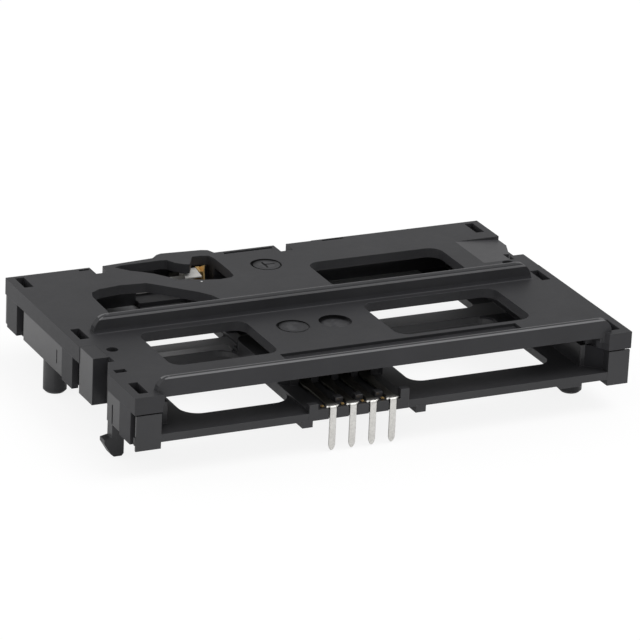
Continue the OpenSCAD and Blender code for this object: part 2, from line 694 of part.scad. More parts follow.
// Fixed terminal that the blade touches when a card is in
module switch_terminal() {
    color(gold)
    at_origin() {
        along_x(terminal_x, terminal_x + switch_t)
            polygon([[stop_y - 0.7, ledge_z + 0.1], [terminal_y + switch_t, blade_z0],
                [terminal_y + switch_t, blade_z1], [terminal_y - 1.4, cover_under - 0.15],
                [stop_y + 0.5, body_h - 0.5], [stop_y - 0.3, body_h - 0.35], [stop_y - 0.7, body_h - 0.7]]);
        slab(terminal_tail_x - tail_w / 2, terminal_y, blade_z0,
            terminal_x + switch_t, terminal_y + switch_t, blade_z1);
        slab(terminal_tail_x - tail_w / 2, terminal_y, -tail_len,
            terminal_tail_x + tail_w / 2, terminal_y + switch_t, blade_z0 + cut_in);
    }
}

base();
cover();
front_contact_1();
front_contact_2();
front_contact_3();
front_contact_4();
rear_contact_1();
rear_contact_2();
rear_contact_3();
rear_contact_4();
switch_blade();
switch_terminal();
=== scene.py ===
"""Smart card socket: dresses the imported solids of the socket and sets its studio."""

import math
from types import SimpleNamespace

import bmesh
import bpy
from bpy.props import FloatProperty, FloatVectorProperty, PointerProperty
from mathutils import Matrix, Vector


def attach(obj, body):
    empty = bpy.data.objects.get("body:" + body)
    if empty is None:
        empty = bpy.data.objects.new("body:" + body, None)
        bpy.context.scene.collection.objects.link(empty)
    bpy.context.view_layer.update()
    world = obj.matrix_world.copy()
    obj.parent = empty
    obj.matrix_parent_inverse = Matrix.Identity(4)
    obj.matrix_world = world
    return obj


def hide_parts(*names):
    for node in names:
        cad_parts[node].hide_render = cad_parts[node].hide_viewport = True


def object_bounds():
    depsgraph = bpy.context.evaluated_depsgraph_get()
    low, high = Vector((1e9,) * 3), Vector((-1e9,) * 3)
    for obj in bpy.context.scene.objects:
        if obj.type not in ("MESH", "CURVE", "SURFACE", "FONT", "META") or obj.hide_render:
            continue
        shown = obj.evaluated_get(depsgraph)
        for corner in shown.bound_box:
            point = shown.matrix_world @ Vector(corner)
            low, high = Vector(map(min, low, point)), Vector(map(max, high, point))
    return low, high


bl_info = {
    "name": "Smart Card Socket",
    "version": (1, 0, 0),
    "blender": (4, 5, 0),
    "location": "3D View > Sidebar > Card Socket",
    "description": "Builds the contacts and finishes of a smart card socket and sets its studio",
    "category": "Object",
}

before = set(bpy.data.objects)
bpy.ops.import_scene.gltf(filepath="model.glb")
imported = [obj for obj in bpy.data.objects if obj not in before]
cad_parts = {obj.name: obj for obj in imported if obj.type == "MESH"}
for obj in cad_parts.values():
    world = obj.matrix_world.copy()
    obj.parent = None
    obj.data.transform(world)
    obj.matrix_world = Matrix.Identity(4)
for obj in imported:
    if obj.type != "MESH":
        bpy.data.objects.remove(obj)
SOLIDS_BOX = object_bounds()

MM = 0.001

# Places are in millimetres from the socket's front left corner and from the board's face.
# The frame starts at the axis of the rear left peg, which stands at PEG_X and PEG_Y.
PEG_X = 1.47
PEG_Y = 27.4

# Plating numbers, as the meshes of the metal parts carry them, and the angle from which their
# edges stay sharp
TIN, SHADED_NICKEL, GOLD = 0.0, 1.0, 2.0
SHARP_ANGLE = math.radians(35)

# Contacts, each a stamped strip that rises as a tail, turns over a shoulder and ends in a nose.
# Lengths along it count outward from the tail. NOSE_OUTLINE counts from the reach and the pad.
CONTACT_COUNT = 4
CONTACT_FIRST = 24.62
PITCH = 2.54
TAIL_END = -3.14
SEAT_Z = 2.08
PAD_Z = 4.94
STRIP_T = 0.25
TAIL_W = 0.8
SHOULDER_W = 1.6
NECK_W = 1.1
BEAM_W = 1.4
NOSE_W = 0.7
SHOULDER_START = 0.3
NECK_START = 0.95
BEAM_LEAD = 0.8
TAPER_LENGTH = 2.3
NOSE_LENGTH = 0.8
TIN_LENGTH = 1.0
GOLD_LENGTH = 2.6
NOSE_OUTLINE = [(-0.75, -0.05), (0.1, -0.02), (0.6, -0.28), (1.38, -1.0)]
STRIP_BENDS = [0.28, 6.0, 1.2, 0.6, 0.8]
STRIP_STEP = 0.6

# The tail's tapered tip: height above its end, half width and share of the thickness
TAIL_TIP = [(0.0, 0.11, 0.4), (0.14, 0.22, 0.7), (0.34, 0.32, 0.9), (0.64, 0.4, 1.0)]
TIP_HEIGHT = 0.75

# Small gold tab beside each tail, and the two ears of the shoulder, with heights from the seat
TAB_OUTLINE = [(0.5, 0.02), (0.66, 0.06), (0.86, -0.02)]
TAB_BEND = 0.15
TAB_SIDES = (0.96, 1.34)
TAB_THIN = 0.8
TAB_EDGE = 0.09
EARS = ((0.5, 0.86), (-0.34, -0.6))
EAR_OUT = 0.26
EAR_RISE = 0.02
EAR_SECTIONS = [(-0.04, 0.04, 0.5), (-0.12, 0.12, 1.0), (-0.12, 0.12, 1.0), (-0.04, 0.04, 0.5)]
EAR_EDGE = 0.06

# Rows of contacts: y of the tails, the way that the beams run along y, where the nose and the
# beam start along the strip, and the side of the gold tab
ROWS = (
    SimpleNamespace(label="front_contact_%d", tail_y=-0.15, way=1, reach=19.38, root=7.4, tab_side=-1),
    SimpleNamespace(label="rear_contact_%d", tail_y=40.32, way=-1, reach=13.47, root=5.6, tab_side=1),
)

# Card switch: a silver blade with a curled tab, and a thin gold sheet with a flap beside it.
# SILVER_PROFILE holds y and z, SHEET_FRONT and SHEET_REAR the sheet's edges from the foot up,
# and FLAP_SIDES x and the rise above FLAP_Z.
SWITCH_T = 0.2
SWITCH_LOW = 2.65
SWITCH_HIGH = 4.33
SWITCH_TIP = [(0.0, 0.14, 0.5), (0.3, 0.3, 0.8), (0.6, 0.4, 1.0)]
TAIL_OVERLAP = 0.3
BLADE_TAIL_X = 13.6
BLADE_Y = 39.3
BLADE_STEPS = 12
SILVER_RIGHT = 24.3
SILVER_LEFT = 22.34
SILVER_SWELL = 0.75
SILVER_TAPER = 0.95
SILVER_LENGTH = 2.2
SILVER_PROFILE = [(39.28, 3.9), (39.28, 5.02), (38.3, 4.84), (37.02, 4.72)]
SILVER_BENDS = [0.3, 1.5]
SILVER_STEPS = 8
SILVER_T = 0.16
SILVER_LIFT = 0.12
SILVER_LIFT_X = (23.0, 23.7)
SILVER_LIFT_Y = (37.4, 38.6)
SHEET_X = 25.1
SHEET_Y = 40.85
SHEET_TAIL_X = 22.0
SHEET_BAND = (SHEET_TAIL_X - TAIL_W / 2, 23.0, 24.0, SHEET_X)
SHEET_FRONT = [(SHEET_X, 37.9, 2.6), (SHEET_X, 37.9, 4.06), (SHEET_X, 38.1, 5.0), (25.0, 37.75, 5.98)]
SHEET_REAR = [(SHEET_X, SHEET_Y, 2.65), (SHEET_X, SHEET_Y, 4.2), (25.06, 39.85, 4.8), (25.02, 39.6, 5.0)]
SHEET_STEPS = 4
SHEET_COLUMNS = 6
SHEET_BOW = 0.08
SHEET_T = 0.14
FLAP_SIDES = ((25.06, 0.0), (24.85, 0.1), (24.4, 0.12))
FLAP_Y = 38.05
FLAP_Z = 4.98
FLAP_LENGTH = 1.3
FLAP_CLIMB = 0.16
FLAP_STEPS = 4
FLAP_T = 0.12

# Lip that closes the slit between the rear wall of the switch pocket and the cover
LIP_LOW = (26.1, 40.03, 2.2)
LIP_HIGH = (26.55, 40.3, 5.2)

# How the faces of the mouldings are told apart. Level faces and gentle slopes have at least this
# upward part of direction, left and front faces less than this part along x and y. Slanted walls
# have at least this product of both and stand above a height. The fillets at the feet of the ribs
# lie below a height, and FILLET_LEAN is where the product of their upward and their sideways part
# starts to count and counts in full.
LEVEL_LEAN = 0.9985
SLOPE_LEAN = 0.985
SIDE_TURN = -0.9
SLANT_TURN = 0.25
SLANT_FLOOR = 1.4
FILLET_LEAN = (0.15, 0.35)
RIB_FOOT_TOP = 7.2

# Colour of the plastic: scales of the noises and the part of their range that is used, shares of
# the plastic's colour, how nearly a softened edge faces the way of its face where its wear and
# painted highlight start and are full, how much of both an edge has at least, and the colours of
# specks and of the painted shadow in the round marks
CLOUD_SCALE = 140.0
CLOUD_RANGE = (0.3, 0.7)
PATCH_SCALE = 900.0
PATCH_RANGE = (0.35, 0.65)
PALE_RANGE = (0.4, 0.75)
PALE_MOST = 0.25
DEEP, PLAIN, PALE = 0.9, 1.1, 1.25
EDGE_RANGE = (0.995, 0.80)
LEAST_WEAR_AND_HIGHLIGHT = 0.35
BEVEL_SAMPLES = 6
SPECK_COLOUR = (0.75, 0.75, 0.74, 1.0)
# Colour of the painted shadow in the rear rims of the round marks
PAINTED_SHADOW_COLOUR = (0.004, 0.004, 0.004, 1.0)
PAINTED_SHADOW_MOST = 0.8

# Round marks: share of the rim's width that takes the painted shadow in full, where along y the
# painted shadow starts and is full as shares of the radius, and the texture of the disc
RIM_FULL = 0.4
RIM_REAR = (-0.1, 0.5)
DISC_RANGE = (0.45, 0.6)
DISC_MOST = 0.3

# Gloss of the plastic: shares of the two noises, how much they and the faces change the roughness,
# where the fading toward the front starts and ends, and how much level faces fade
PATCH_SHARE = 0.6
GRAIN_SHARE = 0.4
UNEVEN = 0.05
SLOPE_POLISH = 0.08
SLANT_DULL = 0.5
FADE_START_Y = 33.4
FADE_END_Y = 1.4
LEVEL_FADE = 0.2
PLASTIC_IOR = 1.5
GRAIN_SCALE = 7000.0
GRAIN_DEPTH = 0.00003

# Plated strip: fine lines drawn out along x, darker spots, and how metallic the pieces look
DRAWN_STRETCH = (9.0, 1.0, 1.0)
DRAWN_SCALE = 2600.0
DRAWN_RANGE = (0.3, 0.7)
DRAWN_DULL = (-0.06, 0.1)
DRAWN_STRENGTH = 0.12
DRAWN_DEPTH = 0.00001
SPOT_SCALE = 3200.0
SPOT_RANGE = (0.35, 0.7)
SPOT_SHADE = 0.84
CONTACT_METALLIC = 1.0
SWITCH_METALLIC = 0.5

# Finish of each moulding. Shade is a factor on the plastic's colour, and gloss the strength of its
# reflections. Level faces have a roughness of their own. The slope value is the strength of the
# painted highlight on the gentle slopes, coarse how dull the slanted walls are, and grain how strong
# the grain is. Foot_shade takes gloss off the fillets at the feet of the ribs, left_fade off the left
# side toward the front, and front_fade off front faces. Specks are a place and a radius. Marks are
# round ejector marks with painted shadow along their rear rim: x, y, radius and the rim's width.
# Lines are painted highlight strips along the crests and feet of the ribs and on the floor: their
# x, y and z from and to, the least upward part of the face's direction, and how strong the painted
# highlight is.
BASE_FINISH = SimpleNamespace(
    shade=1.25,
    roughness=0.29,
    level_roughness=0.6,
    gloss=0.53,
    slope_highlight_strength=0.95,
    coarse=1.0,
    grain=0.1,
    foot_shade=0.0,
    left_fade=0.1,
    front_fade=0.2,
    specks=[(0.22, 6.9, 0.9, 0.12), (0.0, 12.5, 2.1, 0.12)],
    marks=[],
    # Painted highlight strip on the floor behind the middle rib
    lines=[((4.6, 58.7), (21.3, 25.1), (0, 6), 0.99, 0.5)],
)
COVER_FINISH = SimpleNamespace(
    shade=1.4,
    roughness=0.5,
    level_roughness=0.48,
    gloss=0.27,
    slope_highlight_strength=0.15,
    coarse=0.0,
    grain=0.2,
    foot_shade=1.0,
    left_fade=0.35,
    front_fade=0.0,
    specks=[(21.8, 31.5, 6.49, 0.17)],
    marks=[(31.58, 34.26, 2.0, 1.0), (31.49, 14.46, 2.0, 0.6), (26.08, 14.48, 2.05, 0.8)],
    # Painted highlight lines along the crests and the feet of the ribs
    lines=[
        ((3.4, 60.4), (1.28, 1.7), (7.9, 8.3), 0.5, 0.75),
        ((3.4, 60.4), (0.6, 0.9), (8.02, 8.2), 0.0, 0.9),
        ((3.4, 60.4), (20.5, 20.9), (8.1, 8.6), 0.5, 0.75),
        ((3.4, 60.4), (19.8, 20.1), (8.03, 8.3), -0.5, 1.0),
        ((3.4, 60.4), (19.38, 19.68), (6.4, 6.62), 0.9, 0.15),
    ],
)

# Studio, in metres: lamps with their offset from the socket's middle, size and share of the power,
# and the floor. Air and floor have a strength of their own for the light that falls on the socket.
LAMPS = (
    ("main_lamp", (0.27, -0.14, 0.62), 0.5, 1.0),
    ("left_lamp", (-0.6, 0.25, 0.2), 0.4, 0.4),
)
SENSOR_W = 36.0
WHITE = (1, 1, 1, 1)
AIR_ON_SOCKET = 0.6
FLOOR_HALF = 6.0
PAPER_SCALE = 30.0
PAPER_SHADE = 0.98
FLOOR_TO_CAMERA = (0.17, 0.17, 0.17, 1)
FLOOR_GLOW = (0.16, 0.86)


# Small helpers


def spot(x, y, z):
    """A place in metres in the frame, from millimetres counted from the socket's front left corner."""
    return Vector(((x - PEG_X) * MM, (y - PEG_Y) * MM, z * MM))


def share(value, low, high):
    """How far a value is between two others, from 0 to 1."""
    return max(0.0, min(1.0, (value - low) / (high - low)))


def rgb(colour):
    """A colour with full opacity."""
    return (*colour, 1.0)


def new_object(name, mesh, body, material):
    """Links a mesh as a piece that rides on a body and takes a material."""
    piece = bpy.data.objects.new(name, mesh)
    bpy.context.scene.collection.objects.link(piece)
    mesh.materials.clear()
    mesh.materials.append(material)
    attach(piece, body)
    return piece


def rounded_path(points, bends, steps=6):
    """A path of straight runs whose corners are rounded, as points in a plane."""
    path = [Vector(points[0])]
    for before, corner, after, radius in zip(points, points[1:], points[2:], bends):
        a = (Vector(before) - Vector(corner)).normalized()
        b = (Vector(after) - Vector(corner)).normalized()
        half = a.angle(b) / 2
        reach = radius / math.tan(half)
        centre = Vector(corner) + (a + b).normalized() * (radius / math.sin(half))
        first = Vector(corner) + a * reach - centre
        last = Vector(corner) + b * reach - centre
        turn = first.angle(last)
        for i in range(steps + 1):
            t = i / steps
            arm = (first * math.sin((1 - t) * turn) + last * math.sin(t * turn)) / math.sin(turn)
            path.append(centre + arm)
    path.append(Vector(points[-1]))
    return path


def plating_layer(built):
    """The layer of a mesh in the making that says how each vertex is plated."""
    layers = built.verts.layers.float
    return layers.get("plating") or layers.new("plating")


def add_strip(built, path, sections, thickness, place, plating=TIN, edge=0.04):
    """Adds a bent metal strip with softened edges, whose path lies in one plane.

    A section holds its two sides and its share of the thickness, and may end with its own plating.
    """
    layer = plating_layer(built)
    rings = []
    for i, point in enumerate(path):
        ahead = path[min(i + 1, len(path) - 1)]
        behind = path[max(i - 1, 0)]
        along = (ahead - behind).normalized()
        across = Vector((-along.y, along.x))
        low, high, thin, *own = sections[i]
        half = thickness * thin / 2
        edge_w = min(edge, (high - low) / 3)
        outline = [
            (low, half - edge), (low + edge_w, half), (high - edge_w, half), (high, half - edge),
            (high, edge - half), (high - edge_w, -half), (low + edge_w, -half), (low, edge - half),
        ]
        ring = []
        for side, out in outline:
            corner = point + across * out
            ring.append(built.verts.new(place(side, corner.x, corner.y)))
            ring[-1][layer] = own[0] if own else plating
        rings.append(ring)
    for lower, upper in zip(rings, rings[1:]):
        for i in range(len(lower)):
            j = (i + 1) % len(lower)
            built.faces.new((lower[i], lower[j], upper[j], upper[i]))
    built.faces.new(list(reversed(rings[0])))
    built.faces.new(rings[-1])


def add_sheet(built, rows, thickness, plating):
    """Adds a thin curved sheet through a grid of points, its thickness shared between both sides."""
    layer = plating_layer(built)
    grid = [[built.verts.new(point) for point in row] for row in rows]
    faces = []
    for lower, upper in zip(grid, grid[1:]):
        for a, b, c, d in zip(lower, lower[1:], upper[1:], upper):
            faces.append(built.faces.new((a, b, c, d)))
    for vert in (vert for row in grid for vert in row):
        vert.normal_update()
        vert[layer] = plating
    for face in faces:
        face.normal_update()
    before = set(built.verts)
    bmesh.ops.solidify(built, geom=faces, thickness=thickness * MM)
    for vert in set(built.verts) - before:
        vert[layer] = plating


def closed_mesh(name, built):
    """Turns finished strips and sheets into a smooth mesh with sharp corners."""
    bmesh.ops.recalc_face_normals(built, faces=built.faces)
    mesh = bpy.data.meshes.new(name)
    built.to_mesh(mesh)
    built.free()
    mesh.shade_smooth()
    mesh.set_sharp_from_angle(angle=SHARP_ANGLE)
    return mesh


# Finishes


def new_material(name):
    """A new material in the place of an old one of the same name."""
    old = bpy.data.materials.get(name)
    if old:
        bpy.data.materials.remove(old)
    return bpy.data.materials.new(name)


class Nodes:
    """A short way to lay out the nodes of a material or of the world."""

    PER_ROW = 8
    WIDE = 220
    HIGH = 320

    def __init__(self, owner):
        self.owner = owner
        owner.use_nodes = True
        self.tree = owner.node_tree
        self.tree.nodes.clear()
        self.count = 0

    def add(self, kind, settings=None, **inputs):
        """Adds a node. Its inputs go by name, or by number as i0, i1 and so on."""
        node = self.tree.nodes.new(kind)
        node.location = (self.count % self.PER_ROW * self.WIDE, -(self.count // self.PER_ROW) * self.HIGH)
        self.count += 1
        for key, value in (settings or {}).items():
            setattr(node, key, value)
        for key, value in inputs.items():
            numbered = key[0] == "i" and key[1:].isdigit()
            socket = node.inputs[int(key[1:]) if numbered else key.replace("_", " ")]
            if isinstance(value, bpy.types.NodeSocket):
                self.tree.links.new(value, socket)
            else:
                socket.default_value = value
        return node

    def math(self, operation, a, b=0.0, clamp=False):
        settings = {"operation": operation, "use_clamp": clamp}
        return self.add("ShaderNodeMath", settings, i0=a, i1=b).outputs[0]

    def multiply(self, a, b):
        return self.math("MULTIPLY", a, b)

    def above(self, value, limit):
        return self.math("GREATER_THAN", value, limit)

    def below(self, value, limit):
        return self.math("LESS_THAN", value, limit)

    def between(self, value, low, high):
        return self.multiply(self.above(value, low), self.below(value, high))

    def vector(self, operation, a, b=(0, 0, 0)):
        return self.add("ShaderNodeVectorMath", {"operation": operation}, i0=a, i1=b)

    def split(self, vector):
        return self.add("ShaderNodeSeparateXYZ", None, Vector=vector).outputs

    def noise(self, where, scale, detail=3.0):
        inputs = {"Vector": where, "Scale": scale, "Detail": detail, "Roughness": 0.55}
        return self.add("ShaderNodeTexNoise", None, **inputs).outputs["Fac"]

    def ramp(self, value, low, high, out_low=0.0, out_high=1.0):
        node = self.add("ShaderNodeMapRange", {"clamp": True}, Value=value)
        for i, number in enumerate((low, high, out_low, out_high)):
            node.inputs[i + 1].default_value = number
        return node.outputs[0]

    def blend(self, factor, a, b):
        return self.add("ShaderNodeMix", {"data_type": "RGBA"}, i0=factor, i6=a, i7=b).outputs[2]

    def background_rays(self):
        """White for the rays that see the background, the camera's own and those through glass."""
        path = self.add("ShaderNodeLightPath").outputs
        return self.math("MAXIMUM", path["Is Camera Ray"], path["Is Transmission Ray"])

    def close(self, shader, kind="ShaderNodeOutputMaterial"):
        """Joins the last node to the output and gives back the material or the world."""
        self.add(kind, None, Surface=shader.outputs[0])
        return self.owner


class MouldedPlastic(Nodes):
    """Black moulded plastic with spark-eroded grain, cloudy patches and specks, worn edges with a painted
    highlight, painted highlights on slopes, crests and floor, and painted shadow in round marks.
    """

    def __init__(self, name, look, finish):
        super().__init__(new_material(name))
        self.look = look
        self.finish = finish
        self.where = self.add("ShaderNodeTexCoord").outputs["Object"]
        self.place = self.split(self.where)
        self.facing = self.split(self.add("ShaderNodeNewGeometry").outputs["Normal"])
        self.patch = self.noise(self.where, PATCH_SCALE)
        self.fine = self.noise(self.where, GRAIN_SCALE, 2.0)
        lean = self.facing["Z"]
        self.level = self.above(lean, LEVEL_LEAN)
        self.slope = self.between(lean, SLOPE_LEAN, LEVEL_LEAN)
        turned = self.math("ABSOLUTE", self.multiply(self.facing["X"], self.facing["Y"]))
        slanted = self.multiply(self.above(turned, SLANT_TURN), self.above(self.place["Z"], SLANT_FLOOR * MM))
        self.slanted = self.multiply(slanted, finish.coarse)
        self.shaded = 0.0

    def rib_feet(self):
        """The fillets along the feet of the ribs."""
        lean = self.facing["Z"]
        upright = self.math("SQRT", self.math("SUBTRACT", 1.0, self.multiply(lean, lean), True))
        fillet = self.ramp(self.multiply(lean, upright), *FILLET_LEAN)
        fillet = self.multiply(fillet, self.below(self.place["Z"], RIB_FOOT_TOP * MM))
        return self.multiply(fillet, self.finish.foot_shade)

    def worn_and_lit_edges(self):
        """The outer edges, worn and paled by a painted highlight, more in some patches than in others."""
        soft = self.add("ShaderNodeBevel", {"samples": BEVEL_SAMPLES}, Radius=self.look.edge_radius)
        true = self.add("ShaderNodeNewGeometry").outputs["True Normal"]
        close = self.vector("DOT_PRODUCT", soft.outputs[0], true).outputs["Value"]
        uneven = self.ramp(self.patch, *PATCH_RANGE, LEAST_WEAR_AND_HIGHLIGHT, 1.0)
        return self.multiply(self.ramp(close, *EDGE_RANGE), uneven)

    def painted_highlight_strip(self, x_range, y_range, z_range, least_lean):
        """A painted highlight strip between two places along each axis, on faces that lean back far enough.
        """
        inside = self.above(self.facing["Z"], least_lean)
        for axis, start, (low, high) in zip("XYZ", (PEG_X, PEG_Y, 0), (x_range, y_range, z_range)):
            within = self.between(self.place[axis], (low - start) * MM, (high - start) * MM)
            inside = self.multiply(inside, within)
        return inside

    def round_mark(self, x, y, radius, width):
        """The painted shadow along the rear part of a round mark's rim, and the disc inside the rim."""
        off = self.vector("SUBTRACT", self.where, spot(x, y, 0)).outputs[0]
        off = self.vector("MULTIPLY", off, (1, 1, 0)).outputs[0]
        far = self.vector("LENGTH", off).outputs["Value"]
        rim = self.ramp(far, (radius - width) * MM, (radius - width * RIM_FULL) * MM)
        rim = self.multiply(rim, self.below(far, radius * MM))
        rear = self.ramp(self.split(off)["Y"], *[part * radius * MM for part in RIM_REAR])
        return self.multiply(rim, rear), self.below(far, (radius - width) * MM)

    def colour(self):
        """Cloudy black with the specks, paler along worn edges and where highlights are painted on slopes and
        lines, and with painted shadow along the rims of the round marks.
        """
        look = self.look
        finish = self.finish
        tones = [rgb([c * finish.shade * part for c in look.colour]) for part in (DEEP, PLAIN, PALE)]
        cloud = self.noise(self.where, CLOUD_SCALE, 2.0)
        body = self.blend(self.ramp(cloud, *CLOUD_RANGE), tones[0], tones[1])
        body = self.blend(self.ramp(self.patch, *PALE_RANGE, 0.0, PALE_MOST), body, tones[2])
        # Painted highlight that pales the gentle slopes
        body = self.blend(self.multiply(self.slope, finish.slope_highlight_strength), body, rgb(look.slope_highlight_colour))
        # Edges paled for wear and as a painted highlight together
        body = self.blend(self.multiply(self.worn_and_lit_edges(), look.edge_wear_and_highlight), body, rgb(look.edge_colour))
        for x, y, z, radius in finish.specks:
            far = self.vector("DISTANCE", self.where, spot(x, y, z)).outputs["Value"]
            body = self.blend(self.ramp(far, radius * MM, radius * 0.5 * MM), body, SPECK_COLOUR)
        # Painted highlight lines
        for *box, least_lean, amount in finish.lines:
            strip_highlight = self.multiply(self.painted_highlight_strip(*box, least_lean), amount * look.line_highlight_strength)
            body = self.blend(strip_highlight, body, rgb(look.line_highlight_colour))
        # Round marks: painted shadow along the rear rim, and a pale texture in the disc
        for mark in finish.marks:
            rim, disc = self.round_mark(*mark)
            self.shaded = self.math("MAXIMUM", self.shaded, rim)
            texture = self.multiply(disc, self.ramp(self.patch, *DISC_RANGE, 0.0, DISC_MOST))
            body = self.blend(texture, body, rgb(look.edge_colour))
        return self.blend(self.multiply(self.shaded, PAINTED_SHADOW_MOST), body, PAINTED_SHADOW_COLOUR)

    def dullness(self):
        """The roughness: patchy, with a value of its own for slopes, level faces and slanted walls."""
        finish = self.finish
        patches = self.multiply(self.patch, PATCH_SHARE)
        uneven = self.math("ADD", patches, self.multiply(self.fine, GRAIN_SHARE))
        dull = self.ramp(uneven, *PATCH_RANGE, finish.roughness, finish.roughness + UNEVEN)
        dull = self.math("SUBTRACT", dull, self.multiply(self.slope, SLOPE_POLISH))
        more = finish.level_roughness - finish.roughness
        dull = self.math("ADD", dull, self.multiply(self.level, more))
        return self.math("ADD", dull, self.multiply(self.slanted, SLANT_DULL), True)

    def shine(self):
        """The strength of the reflections. It is taken after the colour, which finds the shaded rims."""
        finish = self.finish
        start, end = [(y - PEG_Y) * MM for y in (FADE_START_Y, FADE_END_Y)]
        toward_front = self.ramp(self.place["Y"], start, end)
        left = self.multiply(self.below(self.facing["X"], SIDE_TURN), finish.left_fade)
        front = self.multiply(self.below(self.facing["Y"], SIDE_TURN), finish.front_fade)
        faded = self.math("ADD", left, self.multiply(self.level, LEVEL_FADE))
        faded = self.multiply(toward_front, faded)
        faded = self.math("ADD", faded, front)
        blunt = self.math("MAXIMUM", self.slanted, self.rib_feet())
        blunt = self.math("MAXIMUM", blunt, self.math("MAXIMUM", self.shaded, faded))
        return self.multiply(self.math("SUBTRACT", 1.0, blunt), finish.gloss)

    def material(self):
        """The finished material."""
        body = self.colour()
        soft = self.add("ShaderNodeBevel", {"samples": BEVEL_SAMPLES}, Radius=self.look.edge_radius)
        bump = self.add(
            "ShaderNodeBump", None, Strength=self.finish.grain, Distance=GRAIN_DEPTH,
            Height=self.fine, Normal=soft.outputs[0],
        )
        shader = self.add(
            "ShaderNodeBsdfPrincipled", None, Base_Color=body, Roughness=self.dullness(),
            Normal=bump.outputs[0], IOR=PLASTIC_IOR, Specular_IOR_Level=self.shine(),
        )
        return self.close(shader)


def plated_metal(name, metal, bare):
    """Plated strip. The mesh says how far its plating goes from tin through nickel to gold. The nickel tone
    is darkened as painted shade.
    """
    nodes = Nodes(new_material(name))
    where = nodes.add("ShaderNodeTexCoord").outputs["Object"]
    plating = nodes.add("ShaderNodeAttribute", {"attribute_name": "plating"}).outputs["Fac"]
    stretched = nodes.add("ShaderNodeMapping", None, Vector=where, Scale=DRAWN_STRETCH).outputs[0]
    lines = nodes.noise(stretched, DRAWN_SCALE, 4.0)
    spots = nodes.ramp(nodes.noise(where, SPOT_SCALE), *SPOT_RANGE)
    tones = []
    for tone in (metal.tin, metal.nickel, metal.gold):
        tones.append(nodes.blend(spots, rgb(tone), rgb([c * SPOT_SHADE for c in tone])))
    colour = nodes.blend(nodes.math("ADD", plating, 0.0, True), tones[0], tones[1])
    colour = nodes.blend(nodes.math("SUBTRACT", plating, 1.0, True), colour, tones[2])
    dull = nodes.ramp(lines, *DRAWN_RANGE, *[metal.roughness + more for more in DRAWN_DULL])
    bump = nodes.add("ShaderNodeBump", None, Strength=DRAWN_STRENGTH, Distance=DRAWN_DEPTH, Height=lines)
    shader = nodes.add(
        "ShaderNodeBsdfPrincipled", None, Base_Color=colour, Roughness=dull, Metallic=bare,
        Normal=bump.outputs[0],
    )
    return nodes.close(shader)


# Sizes and colours that a user may change


class SocketPlastic(bpy.types.PropertyGroup):
    """Colours and edges of the two mouldings."""

    colour: FloatVectorProperty(
        name="Plastic", description="Colour of the moulded plastic",
        subtype="COLOR", min=0, max=1, default=(0.024, 0.024, 0.026),
    )
    # Edges: real wear and a painted highlight along them share this colour
    edge_colour: FloatVectorProperty(
        name="Worn and lit edge", description="Colour of the worn edges and of their painted highlight",
        subtype="COLOR", min=0, max=1, default=(0.12, 0.12, 0.125),
    )
    edge_wear_and_highlight: FloatProperty(
        name="Edge wear and highlight", description="How strong the wear and the painted highlight along the sharp edges are",
        subtype="FACTOR", min=0, max=1, default=0.4,
    )
    edge_radius: FloatProperty(
        name="Edge radius", description="Radius that softens the moulded edges",
        subtype="DISTANCE", unit="LENGTH", default=0.00012,
    )
    # Painted highlight lines along the ribs and on the floor
    line_highlight_colour: FloatVectorProperty(
        name="Painted lines", description="Colour of the painted highlight lines along the ribs and on the floor",
        subtype="COLOR", min=0, max=1, default=(0.2, 0.2, 0.205),
    )
    line_highlight_strength: FloatProperty(
        name="Painted line strength", description="How strong the painted highlight lines along the ribs and on the floor are",
        subtype="FACTOR", min=0, max=1, default=1.0,
    )
    # Painted highlight on the gentle slopes, a colour much paler than the plastic
    slope_highlight_colour: FloatVectorProperty(
        name="Slope highlight", description="Colour of the painted highlight on the gentle slopes",
        subtype="COLOR", min=0, max=1, default=(0.25, 0.25, 0.255),
    )


class SocketMetal(bpy.types.PropertyGroup):
    """Platings of the contacts and the switch."""

    tin: FloatVectorProperty(
        name="Tin", description="Colour of the tin plating",
        subtype="COLOR", min=0, max=1, default=(0.79, 0.78, 0.75),
    )
    # Real nickel underplate, its colour darkened well below nickel's own as painted shade
    nickel: FloatVectorProperty(
        name="Nickel", description="Colour of the bare nickel between tail and nose, darkened as painted shade",
        subtype="COLOR", min=0, max=1, default=(0.2, 0.19, 0.17),
    )
    gold: FloatVectorProperty(
        name="Gold", description="Colour of the gold plating",
        subtype="COLOR", min=0, max=1, default=(1.0, 0.68, 0.28),
    )
    roughness: FloatProperty(
        name="Roughness", description="Dullness of the plating",
        subtype="FACTOR", min=0.1, max=1, default=0.42,
    )


class SocketStage(bpy.types.PropertyGroup):
    """Camera, floor and lamps."""

    azimuth: FloatProperty(
        name="Azimuth", description="Direction of the camera, counted from the front",
        subtype="ANGLE", default=math.radians(-26.03),
    )
    elevation: FloatProperty(
        name="Elevation", description="Height of the camera above the horizon",
        subtype="ANGLE", default=math.radians(21.21),
    )
    roll: FloatProperty(
        name="Roll", description="Tilt of the camera about its line of sight",
        subtype="ANGLE", default=math.radians(2.65),
    )
    place: FloatVectorProperty(
        name="Camera place", description="Where the camera stands",
        subtype="XYZ", unit="LENGTH", default=(-0.17325, -0.42504, 0.18484),
    )
    lens: FloatProperty(
        name="Lens", description="Focal length on a 36 mm sensor",
        subtype="DISTANCE_CAMERA", default=236.25,
    )
    floor: FloatVectorProperty(
        name="Floor", description="Colour of the floor",
        subtype="COLOR", min=0, max=1, default=(0.9, 0.9, 0.9),
    )
    lamp_power: FloatProperty(
        name="Lamp power", description="Power of the main lamp",
        subtype="POWER", unit="POWER", default=1.6,
    )


# Pieces


